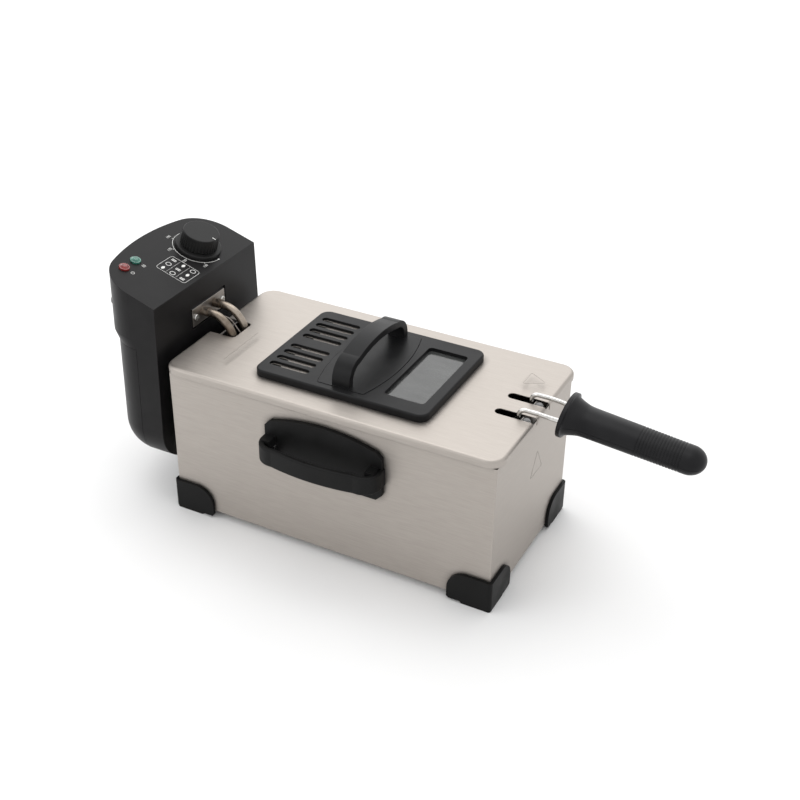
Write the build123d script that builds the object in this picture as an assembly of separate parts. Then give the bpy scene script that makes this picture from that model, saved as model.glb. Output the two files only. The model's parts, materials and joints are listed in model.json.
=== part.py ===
"""Single-tank electric deep fryer with a lift-off control unit, a wire basket and a loose lid.

Millimetres, +Z up. Everything is laid out about the centre of the housing, with z = 0 at the soles of
the feet, and is moved by ORIGIN_X on export so that the origin lies under the middle of the whole
object's footprint. +X points to the basket handle, -X to the control unit, -Y to the front.
"""
from math import cos, radians, sin, sqrt, tan
import os

from build123d import *

# ---- driving dimensions -------------------------------------------------------------------------
SHEET = 1.0                       # stainless sheet of the housing and the tank
HOUSING_L, HOUSING_W, HOUSING_H = 335.0, 175.5, 146.0
FOOT_H = 8.0                      # gap between the table and the housing
BODY_Z0 = FOOT_H
BODY_Z1 = FOOT_H + HOUSING_H
HALF_L, HALF_W = HOUSING_L / 2, HOUSING_W / 2

TANK_HALF_L, TANK_HALF_W = 159.5, 79.5      # outside of the tank wall
TANK_Z0, TANK_Z1 = 22.0, 161.2
TANK_CORNER_R = 18.0

LID_HALF_L, LID_HALF_W = 171.5, 91.75
LID_TOP, LID_SKIRT, LID_SHEET, LID_CORNER_R = BODY_Z1 + 8.65, 7.2, 0.8, 15.0
NOTCH_X, NOTCH_HALF_W = -142.0, 16.0        # lid cut-out for the heater legs
SLOT_X, SLOT_Y, SLOT_W = 133.0, 14.7, 9.6   # lid slots for the basket wires

PANEL_X0, PANEL_X1, PANEL_HALF_W, PANEL_T = -88.0, 89.0, 66.0, 7.0
PANEL_TOP = LID_TOP + PANEL_T
WINDOW_X0, WINDOW_X1, WINDOW_HALF_W = 38.0, 78.5, 47.5
VENT_X0, VENT_X1, VENT_W, VENT_FIRST_Y, VENT_PITCH = -80.0, -38.5, 7.2, 11.0, 12.3
PLATEAU_H = 4.4                   # the lid sheet is pressed up this far under the vents
BASE_LENS_R, BASE_HALF_X, BASE_HALF_Y = 189.0, 32.5, 58.0   # foot of the lid handle, bounded by two arcs

CONTROL_X = -181.0                # flat face of the control unit, towards the tank
CONTROL_BACK, COVER_BACK, BACK_R, BACK_CORNER_R = -255.0, -250.0, 237.0, 38.0
CONTROL_Z0, CONTROL_TOP = 41.0, BODY_Z0 + 206.5
SLOPE = 18.0                      # the panel rises by this angle towards the back
FLARE = 0.036                     # the sides lean out by this much per mm downwards
CONTROL_HALF_W = 84.0             # at the top of the flat face
CONTROL_WALL, CONTROL_FOOT_R = 2.5, 37.0
SEAM_X = -205.0                   # joint between the housing and the rear cover
STEP_Z0, STEP_Z1 = 167.0, 176.0   # the cap tapers in above the rear cover

TUBE_R, TUBE_Y, TUBE_Z, ELEMENT_Z = 4.0, 10.0, 180.0, 40.0
TUBE_DROP_X, TUBE_BEND_R = -146.0, 27.0
KNOB_S, KNOB_Y = 32.0, 30.5       # distance up the panel from its front edge, and across
KNOB_R, KNOB_FLANGE_R, KNOB_H, SPINDLE_R = 18.6, 23.0, 18.5, 3.0
LAMP_S, LAMP_RED_Y, LAMP_GREEN_Y, LAMP_R = 57.0, -54.5, -37.4, 5.3

BASKET_X0, BASKET_X1, BASKET_HALF_W = -118.0, 143.0, 66.0   # at the rim
BASKET_Z0, BASKET_Z1, BASKET_TAPER = 58.0, 144.0, 6.0
WIRE_R, PIVOT_X, PIVOT_Z = 2.1, 152.0, 134.0
WIRE_TOP_Z = BODY_Z0 + 162.5
GRIP_X0, GRIP_LENGTH, GRIP_Z, GRIP_DROOP = 194.0, 127.0, BODY_Z0 + 160.5, 6.0
GRIP_HALF_W, COLLAR_HALF_W, GRIP_FLATNESS = 16.6, 26.5, 0.685
RING_X0, RING_PITCH, RING_COUNT = 68.0, 2.75, 15
GRIP_DOME, GRIP_NECK_X, GRIP_NECK_R = 15.0, 26.0, 17.6

HANDLE_HALF_L, HANDLE_Z0, HANDLE_Z1, HANDLE_ARCH, HANDLE_REACH = 60.5, 86.5, 137.5, 8.0, 24.5
RAIL_HALF_W, RAIL_Z0, RAIL_Z1 = 40.0, 48.0, 138.0

ORIGIN_X = -32.668                # housing centre, measured from the middle of the footprint
SHELL_GAP = 0.3                   # parting gap between moulded pieces


# ---- helpers ------------------------------------------------------------------------------------
def block(x0, x1, y0, y1, z0, z1):
    """A box between two corners."""
    return Pos((x0 + x1) / 2, (y0 + y1) / 2, (z0 + z1) / 2) * Box(x1 - x0, y1 - y0, z1 - z0)


def rounded_block(x0, x1, y0, y1, z0, z1, r):
    """A box with rounded vertical edges."""
    outline = Pos((x0 + x1) / 2, (y0 + y1) / 2, z0) * RectangleRounded(x1 - x0, y1 - y0, r)
    return extrude(outline, z1 - z0)


def rod(r, start, end):
    """A round bar between two points."""
    start, end = Vector(*start), Vector(*end)
    along = end - start
    return extrude(Plane(start, z_dir=along) * Circle(r), along.length)


def bent_rod(r, points, radii):
    """A round bar along straight runs joined by arcs."""
    path = FilletPolyline(*points, radius=radii)
    return sweep(Plane(path @ 0, z_dir=path % 0) * Circle(r), path=path)


def mirrored(shape):
    """The same piece on the other side of the XZ plane."""
    return mirror(shape, about=Plane.XZ)


def pan_screw(head_r, head_h, shank_r, length):
    """A pan-head screw: head above z = 0, shank below, with a cross recess."""
    head = Cylinder(head_r, head_h, align=(Align.CENTER, Align.CENTER, Align.MIN))
    head = fillet(head.edges().group_by(Axis.Z)[-1], head_h * 0.45)
    for turn in (0, 90):
        head -= Pos(0, 0, head_h) * Rot(0, 0, turn) * Box(head_r * 1.1, head_r * 0.26, head_h * 0.7)
    return head + Pos(0, 0, -length / 2) * Cylinder(shank_r, length)


def put(shape, x, y, z, toward):
    """Place a piece made along +Z so that its +Z points along the given direction."""
    return Plane((x, y, z), z_dir=toward).location * shape


def group(shapes):
    """Several separate solids kept as one node."""
    return Compound([solid for shape in shapes for solid in shape.solids()])


PANEL_PLANE = Plane(
    (CONTROL_X, 0, CONTROL_TOP),
    x_dir=(cos(radians(SLOPE)), 0, -sin(radians(SLOPE))),
    z_dir=(sin(radians(SLOPE)), 0, cos(radians(SLOPE))),
)


def on_panel(shape, s, y, height=0.0):
    """Place a piece on the sloping control panel, s mm up from its front edge."""
    return PANEL_PLANE.location * Pos(-s, y, height) * shape


# ---- housing ------------------------------------------------------------------------------------
def housing_shell():
    shell = rounded_block(-HALF_L, HALF_L, -HALF_W, HALF_W, BODY_Z0, BODY_Z1, 1.2)
    shell -= block(-HALF_L + SHEET, HALF_L - SHEET, -HALF_W + SHEET, HALF_W - SHEET,
                   BODY_Z0 + SHEET, BODY_Z1 - SHEET)
    lip, sill = 6.0, 14.0
    shell -= block(-HALF_L + lip, HALF_L - lip, -HALF_W + lip, HALF_W - lip, BODY_Z1 - 5, BODY_Z1 + 5)
    shell -= block(-HALF_L + sill, HALF_L - sill, -HALF_W + sill, HALF_W - sill, BODY_Z0 - 5, BODY_Z0 + 5)
    for x, y in foot_screw_places():
        shell -= Pos(x, y, BODY_Z0) * Cylinder(2.1, 10)
    for y, z in rivet_places():
        shell -= Pos(-HALF_L, y, z) * Rot(0, 90, 0) * Cylinder(1.6, 10)
    for side in (-1, 1):
        for x in carry_screw_places():
            shell -= Pos(x, side * HALF_W, (HANDLE_Z0 + HANDLE_Z1) / 2) * Rot(90, 0, 0) * Cylinder(2.1, 10)
    return shell


def base_plate():
    gap = SHEET + 0.2
    plate = block(-HALF_L + gap, HALF_L - gap, -HALF_W + gap, HALF_W - gap, BODY_Z0 + SHEET, BODY_Z0 + 2.2)
    for x in range(-90, 91, 30):
        for y in (-40, 0, 40):
            plate -= rounded_block(x - 3, x + 3, y - 13, y + 13, BODY_Z0, BODY_Z0 + 5, 2.9)
    for x, y in foot_screw_places():
        plate -= Pos(x, y, BODY_Z0) * Cylinder(2.1, 10)
    return plate


FOOT_LEG, FOOT_T, FOOT_RISE = 41.0, 3.0, 25.0     # wing length, thickness and height above the sheet
FOOT_STEP = 2.5                   # the pad under the corner stands this far below the wings


def foot_screw_places():
    return [(sx * (HALF_L - 9), sy * (HALF_W - 9)) for sx in (-1, 1) for sy in (-1, 1)]


def foot_wing():
    """A flat wing in the XZ plane: square at the corner of the housing, swept down at the far end."""
    height = FOOT_H + FOOT_RISE - FOOT_STEP
    outline = Pos(-FOOT_LEG / 2, FOOT_STEP + height / 2) * Rectangle(FOOT_LEG, height)
    outline = fillet(outline.vertices().sort_by(Axis.X)[:2].sort_by(Axis.Y)[-1:], height * 0.6)
    far_low = outline.vertices().sort_by(lambda v: v.X + v.Y)[:1]
    return extrude(Plane.XZ * fillet(far_low, 3.0), FOOT_T)


def foot(side_x, side_y):
    """A moulded corner foot: two wings outside the walls and a stepped pad under the sheet."""
    corner = foot_wing() + mirror(Rot(0, 0, -90) * foot_wing(), about=Plane.YZ)
    corner += block(0, FOOT_T, -FOOT_T, 0, FOOT_STEP, FOOT_H + FOOT_RISE)
    outer = corner.edges().filter_by(Axis.Z).sort_by(lambda e: e.center().X - e.center().Y)[-1:]
    corner = fillet(outer, FOOT_T - 0.1)
    corner += block(-FOOT_LEG + 4, 0.5, -0.5, FOOT_LEG - 4, FOOT_STEP, FOOT_H)
    corner += rounded_block(-FOOT_LEG + 13, FOOT_T - 0.6, 0.6 - FOOT_T, FOOT_LEG - 13, 0, 3, 2.3)
    corner += rounded_block(-FOOT_LEG + 6, -FOOT_LEG + 11, -1.5, 4, 1.2, 3, 1.5)
    corner -= Pos(-9, 9, FOOT_H) * Cylinder(2.1, 40)
    corner -= Pos(-9, 9, 2) * Cylinder(4.2, 8)
    corner -= block(-FOOT_LEG - 1, 0, 0, FOOT_LEG + 1, FOOT_H, FOOT_H + FOOT_RISE + 1)
    if side_x < 0:
        corner = mirror(corner, about=Plane.YZ)
    if side_y > 0:
        corner = mirror(corner, about=Plane.XZ)
    return Pos(side_x * HALF_L, side_y * HALF_W, 0) * corner


def foot_screws():
    screw = pan_screw(3.6, 2.2, 1.9, 8)
    return group([put(screw, x, y, 6.0, (0, 0, -1)) for x, y in foot_screw_places()])


def carry_screw_places():
    return (-50.0, 50.0)


def carry_handle(side):
    """A moulded side handle: an arched back plate and a D-shaped bow with an open finger gap."""
    plate = Pos(0, (HANDLE_Z0 + HANDLE_Z1) / 2) * Rectangle(2 * HANDLE_HALF_L, HANDLE_Z1 - HANDLE_Z0)
    plate = chamfer(plate.vertices(), 6.0)
    top = ThreePointArc((-HANDLE_HALF_L + 8, HANDLE_Z1), (0, HANDLE_Z1 + HANDLE_ARCH),
                        (HANDLE_HALF_L - 8, HANDLE_Z1))
    plate += make_face([top, Line(top @ 1, top @ 0)])
    body = extrude(Plane.XZ * plate, 4.0)
    bow_l, band_t, bow_z0, bow_z1 = HANDLE_HALF_L + 1.5, 5.0, 102.0, 120.5

    def bow_outline(inset):
        half, reach = bow_l - inset, HANDLE_REACH - inset
        outline = Pos(0, -reach / 2) * Rectangle(2 * half, reach)
        outline = fillet(outline.vertices().sort_by(Axis.Y)[:2], 17.0 - inset)
        bulge = ThreePointArc((-half + 20, -reach), (0, -reach - 4.0), (half - 20, -reach))
        return outline + make_face([bulge, Line(bulge @ 1, bulge @ 0)])

    bow = extrude(Pos(0, 0, bow_z0) * bow_outline(0), bow_z1 - bow_z0)
    bow -= extrude(Pos(0, 0, bow_z0 - 1) * bow_outline(band_t), bow_z1 - bow_z0 + 2)
    bow = fillet(bow.edges().group_by(Axis.Z)[-1] + bow.edges().group_by(Axis.Z)[0], 1.6)
    for sx in (-1, 1):
        bow += Pos(sx * (bow_l - 8.5), -7.5, (bow_z0 + 122) / 2) * Box(9, 15, 122 - bow_z0)
    body += bow
    body -= block(-200, 200, 0, 50, 0, 300)
    for x in carry_screw_places():
        body -= Pos(x, 0, (HANDLE_Z0 + HANDLE_Z1) / 2) * Rot(90, 0, 0) * Cylinder(1.8, 16)
    body = Pos(0, -HALF_W, 0) * body
    return body if side < 0 else Rot(0, 0, 180) * body


def carry_handle_screws():
    screw = pan_screw(3.8, 2.4, 1.6, 8)
    z = (HANDLE_Z0 + HANDLE_Z1) / 2
    return group([put(screw, x, side * (HALF_W - SHEET), z, (0, -side, 0))
                  for side in (-1, 1) for x in carry_screw_places()])


# ---- guide rail between housing and control unit ---------------------------------------------------
RAIL_T = 1.5
LIP_X0 = -179.4                   # outer face of the rail lips, which the hooks of the control unit wrap


def rivet_places():
    return [(sy * 28.0, z) for sy in (-1, 1) for z in (RAIL_Z0 + 14, RAIL_Z1 - 14)]


def control_rail():
    rail = block(-HALF_L - RAIL_T, -HALF_L, -RAIL_HALF_W, RAIL_HALF_W, RAIL_Z0, RAIL_Z1)
    for sy in (-1, 1):
        web = block(LIP_X0, -HALF_L, RAIL_HALF_W - RAIL_T, RAIL_HALF_W, RAIL_Z0, RAIL_Z1)
        lip = block(LIP_X0, LIP_X0 + RAIL_T, RAIL_HALF_W - RAIL_T, RAIL_HALF_W + 7, RAIL_Z0, RAIL_Z1)
        part = web + lip
        rail += part if sy > 0 else mirrored(part)
    for y, z in rivet_places():
        rail -= Pos(-HALF_L, y, z) * Rot(0, 90, 0) * Cylinder(1.6, 10)
    return rail


def rail_rivets():
    head = Cylinder(3.2, 1.4, align=(Align.CENTER, Align.CENTER, Align.MIN))
    head = fillet(head.edges().group_by(Axis.Z)[-1], 1.1)
    grip = RAIL_T + SHEET
    rivet = head + Pos(0, 0, -grip / 2) * Cylinder(1.5, grip) + Pos(0, 0, -grip - 0.6) * Cylinder(2.6, 1.2)
    return group([put(rivet, -HALF_L - RAIL_T, y, z, (-1, 0, 0)) for y, z in rivet_places()])


def control_hooks():
    y0, t, x1 = RAIL_HALF_W + 7.5, 1.5, LIP_X0 + RAIL_T + 0.5
    web = block(CONTROL_X, x1 + t, y0, y0 + t, RAIL_Z0 + 12, RAIL_Z1 - 8)
    turn_in = block(x1, x1 + t, RAIL_HALF_W + 1.2, y0 + t, RAIL_Z0 + 12, RAIL_Z1 - 8)
    fixing = block(CONTROL_X, CONTROL_X + t, y0, y0 + 12, RAIL_Z0 + 12, RAIL_Z1 - 8)
    hook = web + turn_in + fixing
    for z in hook_screw_heights():
        hook -= Pos(CONTROL_X, y0 + 7, z) * Rot(0, 90, 0) * Cylinder(1.9, 10)
    return group([hook, mirrored(hook)])


def hook_screw_heights():
    return (RAIL_Z0 + 24, RAIL_Z1 - 20)


def hook_screws():
    screw = pan_screw(3.2, 1.9, 1.7, 7)
    y = RAIL_HALF_W + 14.5
    return group([put(screw, CONTROL_X + RAIL_T, sy * y, z, (1, 0, 0))
                  for sy in (-1, 1) for z in hook_screw_heights()])


# ---- oil tank -----------------------------------------------------------------------------------
def oil_tank():
    outer = rounded_block(-TANK_HALF_L, TANK_HALF_L, -TANK_HALF_W, TANK_HALF_W, TANK_Z0, TANK_Z1,
                          TANK_CORNER_R)
    outer = fillet(outer.edges().group_by(Axis.Z)[0], 12.0)
    inner = rounded_block(-TANK_HALF_L + SHEET, TANK_HALF_L - SHEET, -TANK_HALF_W + SHEET,
                          TANK_HALF_W - SHEET, TANK_Z0 + SHEET, TANK_Z1 + 5, TANK_CORNER_R - SHEET)
    inner = fillet(inner.edges().group_by(Axis.Z)[0], 11.0)
    flange = rounded_block(-HALF_L + 0.7, HALF_L - 0.7, -HALF_W + 0.7, HALF_W - 0.7, BODY_Z1,
                           BODY_Z1 + SHEET, 4.0)
    tank = outer + flange - inner
    for level in (70.0, 100.0):
        tank += block(-30, 30, -TANK_HALF_W + SHEET - 0.1, -TANK_HALF_W + SHEET + 0.6, level, level + 1.2)
    return tank


def drain_studs():
    """Two domed studs on the tank flange, under the basket wires."""
    stud = Pos(0, 0, 1.5) * Cylinder(2.2, 3) + Pos(0, 0, 3) * Cylinder(
        3.6, 3.8, align=(Align.CENTER, Align.CENTER, Align.MIN))
    stud = fillet(stud.edges().group_by(Axis.Z)[-1], 1.8)
    return group([Pos(163.1, sy * SLOT_Y, BODY_Z1 + SHEET) * stud for sy in (-1, 1)])


# ---- control unit -------------------------------------------------------------------------------
def half_width_at(z):
    return CONTROL_HALF_W + FLARE * (CONTROL_TOP - z)


def d_outline(z, back, inset):
    """The plan of the control unit: a flat face, straight sides and a shallow round back."""
    half = half_width_at(z) - inset
    front = CONTROL_X - inset
    flat = Pos((front + back - 20) / 2, 0) * Rectangle(front - back + 20, 2 * half)
    plan = flat & (Pos(back + inset + BACK_R, 0) * Circle(BACK_R))
    plan = fillet(plan.vertices().sort_by(Axis.X)[:2], BACK_CORNER_R - inset)
    return Pos(0, 0, z) * plan.face()


def d_body(z0, z1, back, inset):
    return loft([d_outline(z0, back, inset), d_outline(z1, back, inset)], ruled=True)


def unit_body(back, inset):
    """The whole unit, with its underside rounded up the sides, the back and the back corners."""
    body = d_body(CONTROL_Z0 + inset, 250, back, inset)
    lowest = body.edges().group_by(Axis.Z)[0]
    return fillet([edge for edge in lowest if edge.center().X < CONTROL_X - inset - 1], CONTROL_FOOT_R - inset)


def below_panel(depth):
    """Everything lower than a plane parallel to the panel."""
    return PANEL_PLANE.location * Pos(0, 0, -depth - 200) * Box(600, 400, 400)


def control_cavity():
    """The hollow inside the unit, deeper within the cap than behind the rear cover."""
    low = unit_body(COVER_BACK, CONTROL_WALL)
    high = d_body(STEP_Z1 + 3, 250, CONTROL_BACK, CONTROL_WALL)
    return (low + high) & below_panel(CONTROL_WALL)


def control_housing(cavity):
    """Front wall, sides and the deep sloping cap, in one moulding."""
    full = unit_body(CONTROL_BACK, 0) & below_panel(0)
    taper = loft([d_outline(STEP_Z0, COVER_BACK, 0), d_outline(STEP_Z1, CONTROL_BACK, 0)], ruled=True)
    cap = (d_body(STEP_Z1, 250, CONTROL_BACK, 0) & below_panel(0)) + taper
    front = full & block(SEAM_X, -100, -150, 150, 0, STEP_Z1)
    shell = (cap + front) - cavity
    shell += block(CONTROL_X - 6, CONTROL_X - 1, -33, 33, 164, 196)
    shell -= block(CONTROL_X - 2, CONTROL_X + 1, -29, 29, 167, 191)
    for sy in (-1, 1):
        shell -= Pos(CONTROL_X, sy * TUBE_Y, TUBE_Z) * Rot(0, 90, 0) * Cylinder(TUBE_R + 0.4, 30)
        shell -= Pos(CONTROL_X, sy * 22, 178) * Rot(0, 90, 0) * Cylinder(1.7, 30)
        for z in hook_screw_heights():
            shell -= Pos(CONTROL_X, sy * (RAIL_HALF_W + 14.5), z) * Rot(0, 90, 0) * Cylinder(1.7, 10)
    shell -= Pos(CONTROL_X, 2, 172) * Rot(0, 90, 0) * Cylinder(1.3, 30)
    shell -= Pos(CONTROL_X, 0, PLUNGER_Z) * Rot(0, 90, 0) * Cylinder(PLUNGER_R + 0.25, 12)
    shell -= on_panel(Cylinder(SPINDLE_R + 0.4, 12), KNOB_S, KNOB_Y)
    for y in (LAMP_RED_Y, LAMP_GREEN_Y):
        shell -= on_panel(Cylinder(4.15, 12), LAMP_S, y)
    shell -= reset_place() * Cylinder(RESET_R + 0.25, 30)
    for y, z in cover_screw_places():
        shell += rod(4.5, (CONTROL_X - 1, y, z), (-242, y, z))
        shell -= rod(1.7, (-227, y, z), (-243, y, z))
    return shell


def cover_screw_places():
    return [(sy * 40.0, z) for sy in (-1, 1) for z in (80.0, 145.0)]


def control_rear_cover(cavity):
    cover = unit_body(COVER_BACK, 0) & block(-300, SEAM_X - SHELL_GAP, -150, 150, 0, STEP_Z0 - SHELL_GAP)
    cover -= cavity
    for y, z in cover_screw_places():
        cover -= Pos(-245, y, z) * Rot(0, 90, 0) * Cylinder(2.2, 30)
        cover -= Pos(-250.2, y, z) * Rot(0, 90, 0) * Cylinder(4.2, 4.4)
    cover -= Pos(COVER_BACK, 0, GLAND_Z) * Rot(0, 90, 0) * Cylinder(GLAND_R + 0.1, 20)
    for row in range(6):
        cover -= block(-300, -235, -25, 25, 112 + 5 * row, 114 + 5 * row)
    return cover


def cover_screws():
    screw = pan_screw(3.6, 2.2, 1.6, 10)
    return group([put(screw, -248.0, y, z, (-1, 0, 0)) for y, z in cover_screw_places()])


GLAND_R, GLAND_HOLE_R, GLAND_Z = 7.0, 3.6, 90.0


def cord_gland():
    """The flanged bush that the mains lead would pass through."""
    body = Cylinder(GLAND_R, 12, align=(Align.CENTER, Align.CENTER, Align.MAX))
    flange = Cylinder(10.0, 3.0, align=(Align.CENTER, Align.CENTER, Align.MIN))
    nut = Pos(0, 0, -3.2) * extrude(RegularPolygon(10.0, 6), -5.0)
    nose = Cone(7.2, 5.4, 2.0, align=(Align.CENTER, Align.CENTER, Align.MIN))
    gland = body + flange + nut + Pos(0, 0, 3.0) * nose - Cylinder(GLAND_HOLE_R, 80)
    return put(gland, COVER_BACK, 0, GLAND_Z, (-1, 0, 0))


def element_gasket():
    """A thin gasket behind the steel plate of the heating element."""
    return plate_blank(CONTROL_X - 2.0, CONTROL_X - 1.5, 27.5, 168.5, 188.5)


def plate_blank(x0, x1, half, z0, z1):
    plate = block(x0, x1, -half, half, z0, z1)
    for sy in (-1, 1):
        plate -= Pos(CONTROL_X, sy * TUBE_Y, TUBE_Z) * Rot(0, 90, 0) * Cylinder(TUBE_R + 0.1, 12)
        plate -= Pos(CONTROL_X, sy * 22, 178) * Rot(0, 90, 0) * Cylinder(2.0, 12)
    return plate - Pos(CONTROL_X, 2, 172) * Rot(0, 90, 0) * Cylinder(1.2, 12)


def element_plate():
    return plate_blank(CONTROL_X - 1.5, CONTROL_X, 27.0, 169.0, 188.0)


def plate_screws():
    screw = pan_screw(3.4, 2.1, 1.6, 9)
    return group([put(screw, CONTROL_X, sy * 22, 178, (1, 0, 0)) for sy in (-1, 1)])


def element_collars():
    ring = Cylinder(TUBE_R + 0.7, 7.5) - Cylinder(TUBE_R + 0.1, 20)
    return group([Pos(CONTROL_X + 3.75, sy * TUBE_Y, TUBE_Z) * Rot(0, 90, 0) * ring for sy in (-1, 1)])


def heating_element():
    """One tube: in over the tank rim, down the end, and to and fro across the bottom."""
    run_x, turn_x, inner_x = 118.0, -120.0, -90.0
    half = [(-200, -TUBE_Y, TUBE_Z), (TUBE_DROP_X, -TUBE_Y, TUBE_Z), (TUBE_DROP_X, -TUBE_Y, ELEMENT_Z),
            (turn_x, -TUBE_Y, ELEMENT_Z), (turn_x, -42, ELEMENT_Z), (run_x, -42, ELEMENT_Z),
            (run_x, -14, ELEMENT_Z), (inner_x, -14, ELEMENT_Z)]
    bends = [TUBE_BEND_R, 12.0, 12.0, 13.5, 13.5, 13.5, 13.5]
    points = half + [(x, -y, z) for x, y, z in reversed(half)]
    tube = bent_rod(TUBE_R, points, bends + bends[::-1])
    pins = [Pos(-203, sy * TUBE_Y, TUBE_Z) * Rot(0, 90, 0) * Cylinder(1.5, 8) for sy in (-1, 1)]
    return tube + pins[0] + pins[1]


def capillary_tube():
    points = [(-196, 2, 172), (-158, 2, 172), (-140, 2, 150), (-140, 2, 48), (-132, 2, 48)]
    return bent_rod(0.9, points, [14.0, 10.0, 5.0])


def thermostat_bulb():
    bulb = rod(3.0, (-132, 2, 48), (-66, 2, 48))
    return fillet(bulb.edges(), 1.4)


def bulb_clip():
    strap = block(-100, -94, -18, 18, ELEMENT_Z + TUBE_R + 0.1, ELEMENT_Z + TUBE_R + 0.9)
    loop = Pos(-97, 2, 48) * Rot(0, 90, 0) * Cylinder(4.0, 6)
    return strap + loop - Pos(-97, 2, 48) * Rot(0, 90, 0) * Cylinder(3.05, 20)


def thermostat_body():
    body = on_panel(rounded_block(-17, 17, -15, 15, -34, -CONTROL_WALL - 0.1, 4), KNOB_S, KNOB_Y)
    return body - on_panel(Cylinder(SPINDLE_R + 0.08, 40), KNOB_S, KNOB_Y)


def thermostat_spindle():
    """The turning shaft of the thermostat, with the flat that the knob fits on."""
    shaft = Cylinder(SPINDLE_R, 29, align=(Align.CENTER, Align.CENTER, Align.MIN))
    flat = Pos(0, 4.2, 23) * Box(10, 4, 14)
    return on_panel(shaft - flat, KNOB_S, KNOB_Y, -16)


def dial_knob():
    """A skirted knob with a ribbed side and a blind D-shaped bore."""
    align = (Align.CENTER, Align.CENTER, Align.MIN)
    skirt = fillet(Cylinder(KNOB_FLANGE_R, 3.4, align=align).edges().group_by(Axis.Z)[-1], 1.2)
    neck = Pos(0, 0, 3.0) * Cylinder(KNOB_R - 1.4, 1.6, align=align)
    grip = Pos(0, 0, 4.4) * Cone(KNOB_R, KNOB_R - 0.8, KNOB_H - 4.4, align=align)
    grip = fillet(grip.edges().group_by(Axis.Z)[-1], 0.8)
    ribs = 36
    for i in range(ribs):
        grip -= Rot(0, 0, 360 * i / ribs) * Pos(KNOB_R + 0.2, 0, 4.4) * Cylinder(1.0, KNOB_H - 5.6,
                                                                                 align=align)
    bore = Cylinder(SPINDLE_R + 0.05, 13.6, align=align) - Pos(0, 4.25, 6) * Box(10, 4, 30)
    pointer = Pos(KNOB_R - 3, 0, KNOB_H) * Box(5, 1.2, 0.7)
    return on_panel(skirt + neck + grip - pointer - bore, KNOB_S, KNOB_Y, 0.5)


def lamp_lens(y):
    align = (Align.CENTER, Align.CENTER, Align.MIN)
    rim = Pos(0, 0, 0.02) * Cylinder(LAMP_R, 1.8, align=align)
    dome = Pos(0, 0, 1.8) * Cone(LAMP_R - 1.2, 2.4, 1.4, align=align)
    stem = Pos(0, 0, -6.0) * Cylinder(4.0, 6.1, align=align)
    return on_panel(fillet(rim.edges().group_by(Axis.Z)[-1], 0.6) + dome + stem, LAMP_S, y)


def lamp_holders():
    align = (Align.CENTER, Align.CENTER, Align.MAX)
    holder = Pos(0, 0, -CONTROL_WALL - 0.3) * Cylinder(5.0, 9.5, align=align)
    holder -= Pos(0, 0, -3) * Cylinder(4.1, 8)
    return group([on_panel(holder, LAMP_S, y) for y in (LAMP_RED_Y, LAMP_GREEN_Y)])


def terminal_block():
    """A three-way connector on the inside of the flat face."""
    body = block(CONTROL_X - 16, CONTROL_X - CONTROL_WALL - 0.1, -24, 24, 134, 152)
    for i in (-1, 0, 1):
        body -= Pos(CONTROL_X - 12, i * 15, 152) * Cylinder(2.6, 8)
    return body


def terminal_screws():
    screw = pan_screw(2.4, 1.4, 1.4, 2.0)
    return group([Pos(CONTROL_X - 12, i * 15, 150.2) * screw for i in (-1, 0, 1)])


# The reset button sits in the rounded back corner of the cap, facing out square to the wall.
RESET_R, RESET_Z, RESET_ANGLE = 3.6, 200.0, 207.0


def reset_place():
    half = half_width_at(RESET_Z)
    reach = BACK_R - BACK_CORNER_R
    cy = -(half - BACK_CORNER_R)
    cx = CONTROL_BACK + BACK_R - sqrt(reach ** 2 - cy ** 2)
    nx, ny = cos(radians(RESET_ANGLE)), sin(radians(RESET_ANGLE))
    at = (cx + nx * BACK_CORNER_R, cy + ny * BACK_CORNER_R, RESET_Z)
    return Plane(at, z_dir=(nx, ny, 0)).location


def reset_button():
    cap = Pos(0, 0, -9.0) * Cylinder(RESET_R, 10.2, align=(Align.CENTER, Align.CENTER, Align.MIN))
    return reset_place() * fillet(cap.edges().group_by(Axis.Z)[-1], 0.8)


def thermal_cutout():
    """The safety cut-out that the reset button acts on."""
    return reset_place() * (Pos(0, 0, -19) * Cylinder(8.0, 8.0))


PLUNGER_R, PLUNGER_Z = 2.5, 120.0


def safety_switch():
    """A micro-switch that only closes while the control unit is seated on its rail."""
    body = block(CONTROL_X - 24, CONTROL_X - 8.5, -13, 13, PLUNGER_Z - 6, PLUNGER_Z + 6)
    arms = block(CONTROL_X - 9, CONTROL_X - CONTROL_WALL - 0.1, 9, 13, PLUNGER_Z - 6, PLUNGER_Z + 6)
    return body + arms + mirrored(arms)


def switch_plunger():
    pin = rod(PLUNGER_R, (CONTROL_X - 4.5, 0, PLUNGER_Z), (-HALF_L - RAIL_T - 0.8, 0, PLUNGER_Z))
    return fillet(pin.edges(), 0.8)


# ---- basket -------------------------------------------------------------------------------------
def basket_tub(inset, z0):
    """The tapered tub that the wire mesh follows."""
    def level(z, shrink):
        x0, x1 = BASKET_X0 + shrink + inset, BASKET_X1 - shrink - inset
        half = BASKET_HALF_W - shrink - inset
        return Pos((x0 + x1) / 2, 0, z) * RectangleRounded(x1 - x0, 2 * half, 16 - inset).face()
    tub = loft([level(z0, BASKET_TAPER), level(BASKET_Z1 + inset, 0)], ruled=True)
    return fillet(tub.edges().group_by(Axis.Z)[0], 11.0 - inset)


def basket_mesh():
    wall = 1.6
    return basket_tub(0, BASKET_Z0) - basket_tub(wall, BASKET_Z0 + wall)


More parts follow.
